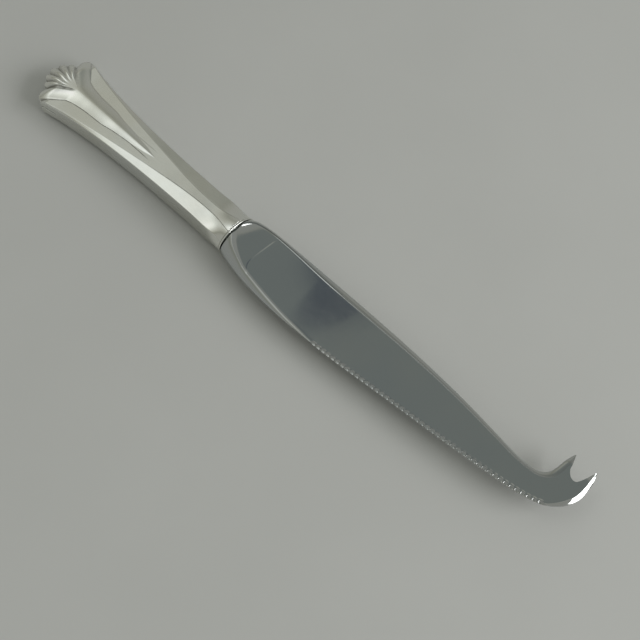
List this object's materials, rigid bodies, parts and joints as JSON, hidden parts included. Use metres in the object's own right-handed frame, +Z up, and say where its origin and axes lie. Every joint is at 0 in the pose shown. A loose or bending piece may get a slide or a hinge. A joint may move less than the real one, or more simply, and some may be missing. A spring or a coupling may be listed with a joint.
{
  "type": "cheese knife",
  "caption": "Hollow handled table knife for cheese: fluted shell at the butt, faceted handle, polished blade with a scalloped cutting edge and a forked hook at its tip.",
  "frame": {"origin": "centre of the flat panel on the underside of the handle, which stays about 1 mm clear of the table that the knife lies on", "axes": "+X along the knife from the butt to the hook, +Y from the cutting edge to the spine, +Z up from the table through the thickness of the knife as it lies"},
  "size_m": [0.2108, 0.0286, 0.0107],
  "materials": {
    "silver": "polished sterling silver with fine handling scratches",
    "blade_steel": "mirror polished stainless steel",
    "cement": "dull dark cutler's cement"
  },
  "bodies": {
    "root": {"blade": "blade_steel", "handle_upper": "silver", "handle_lower": "silver", "collar": "silver", "cement_fill": "cement"}
  },
  "joints": []
}
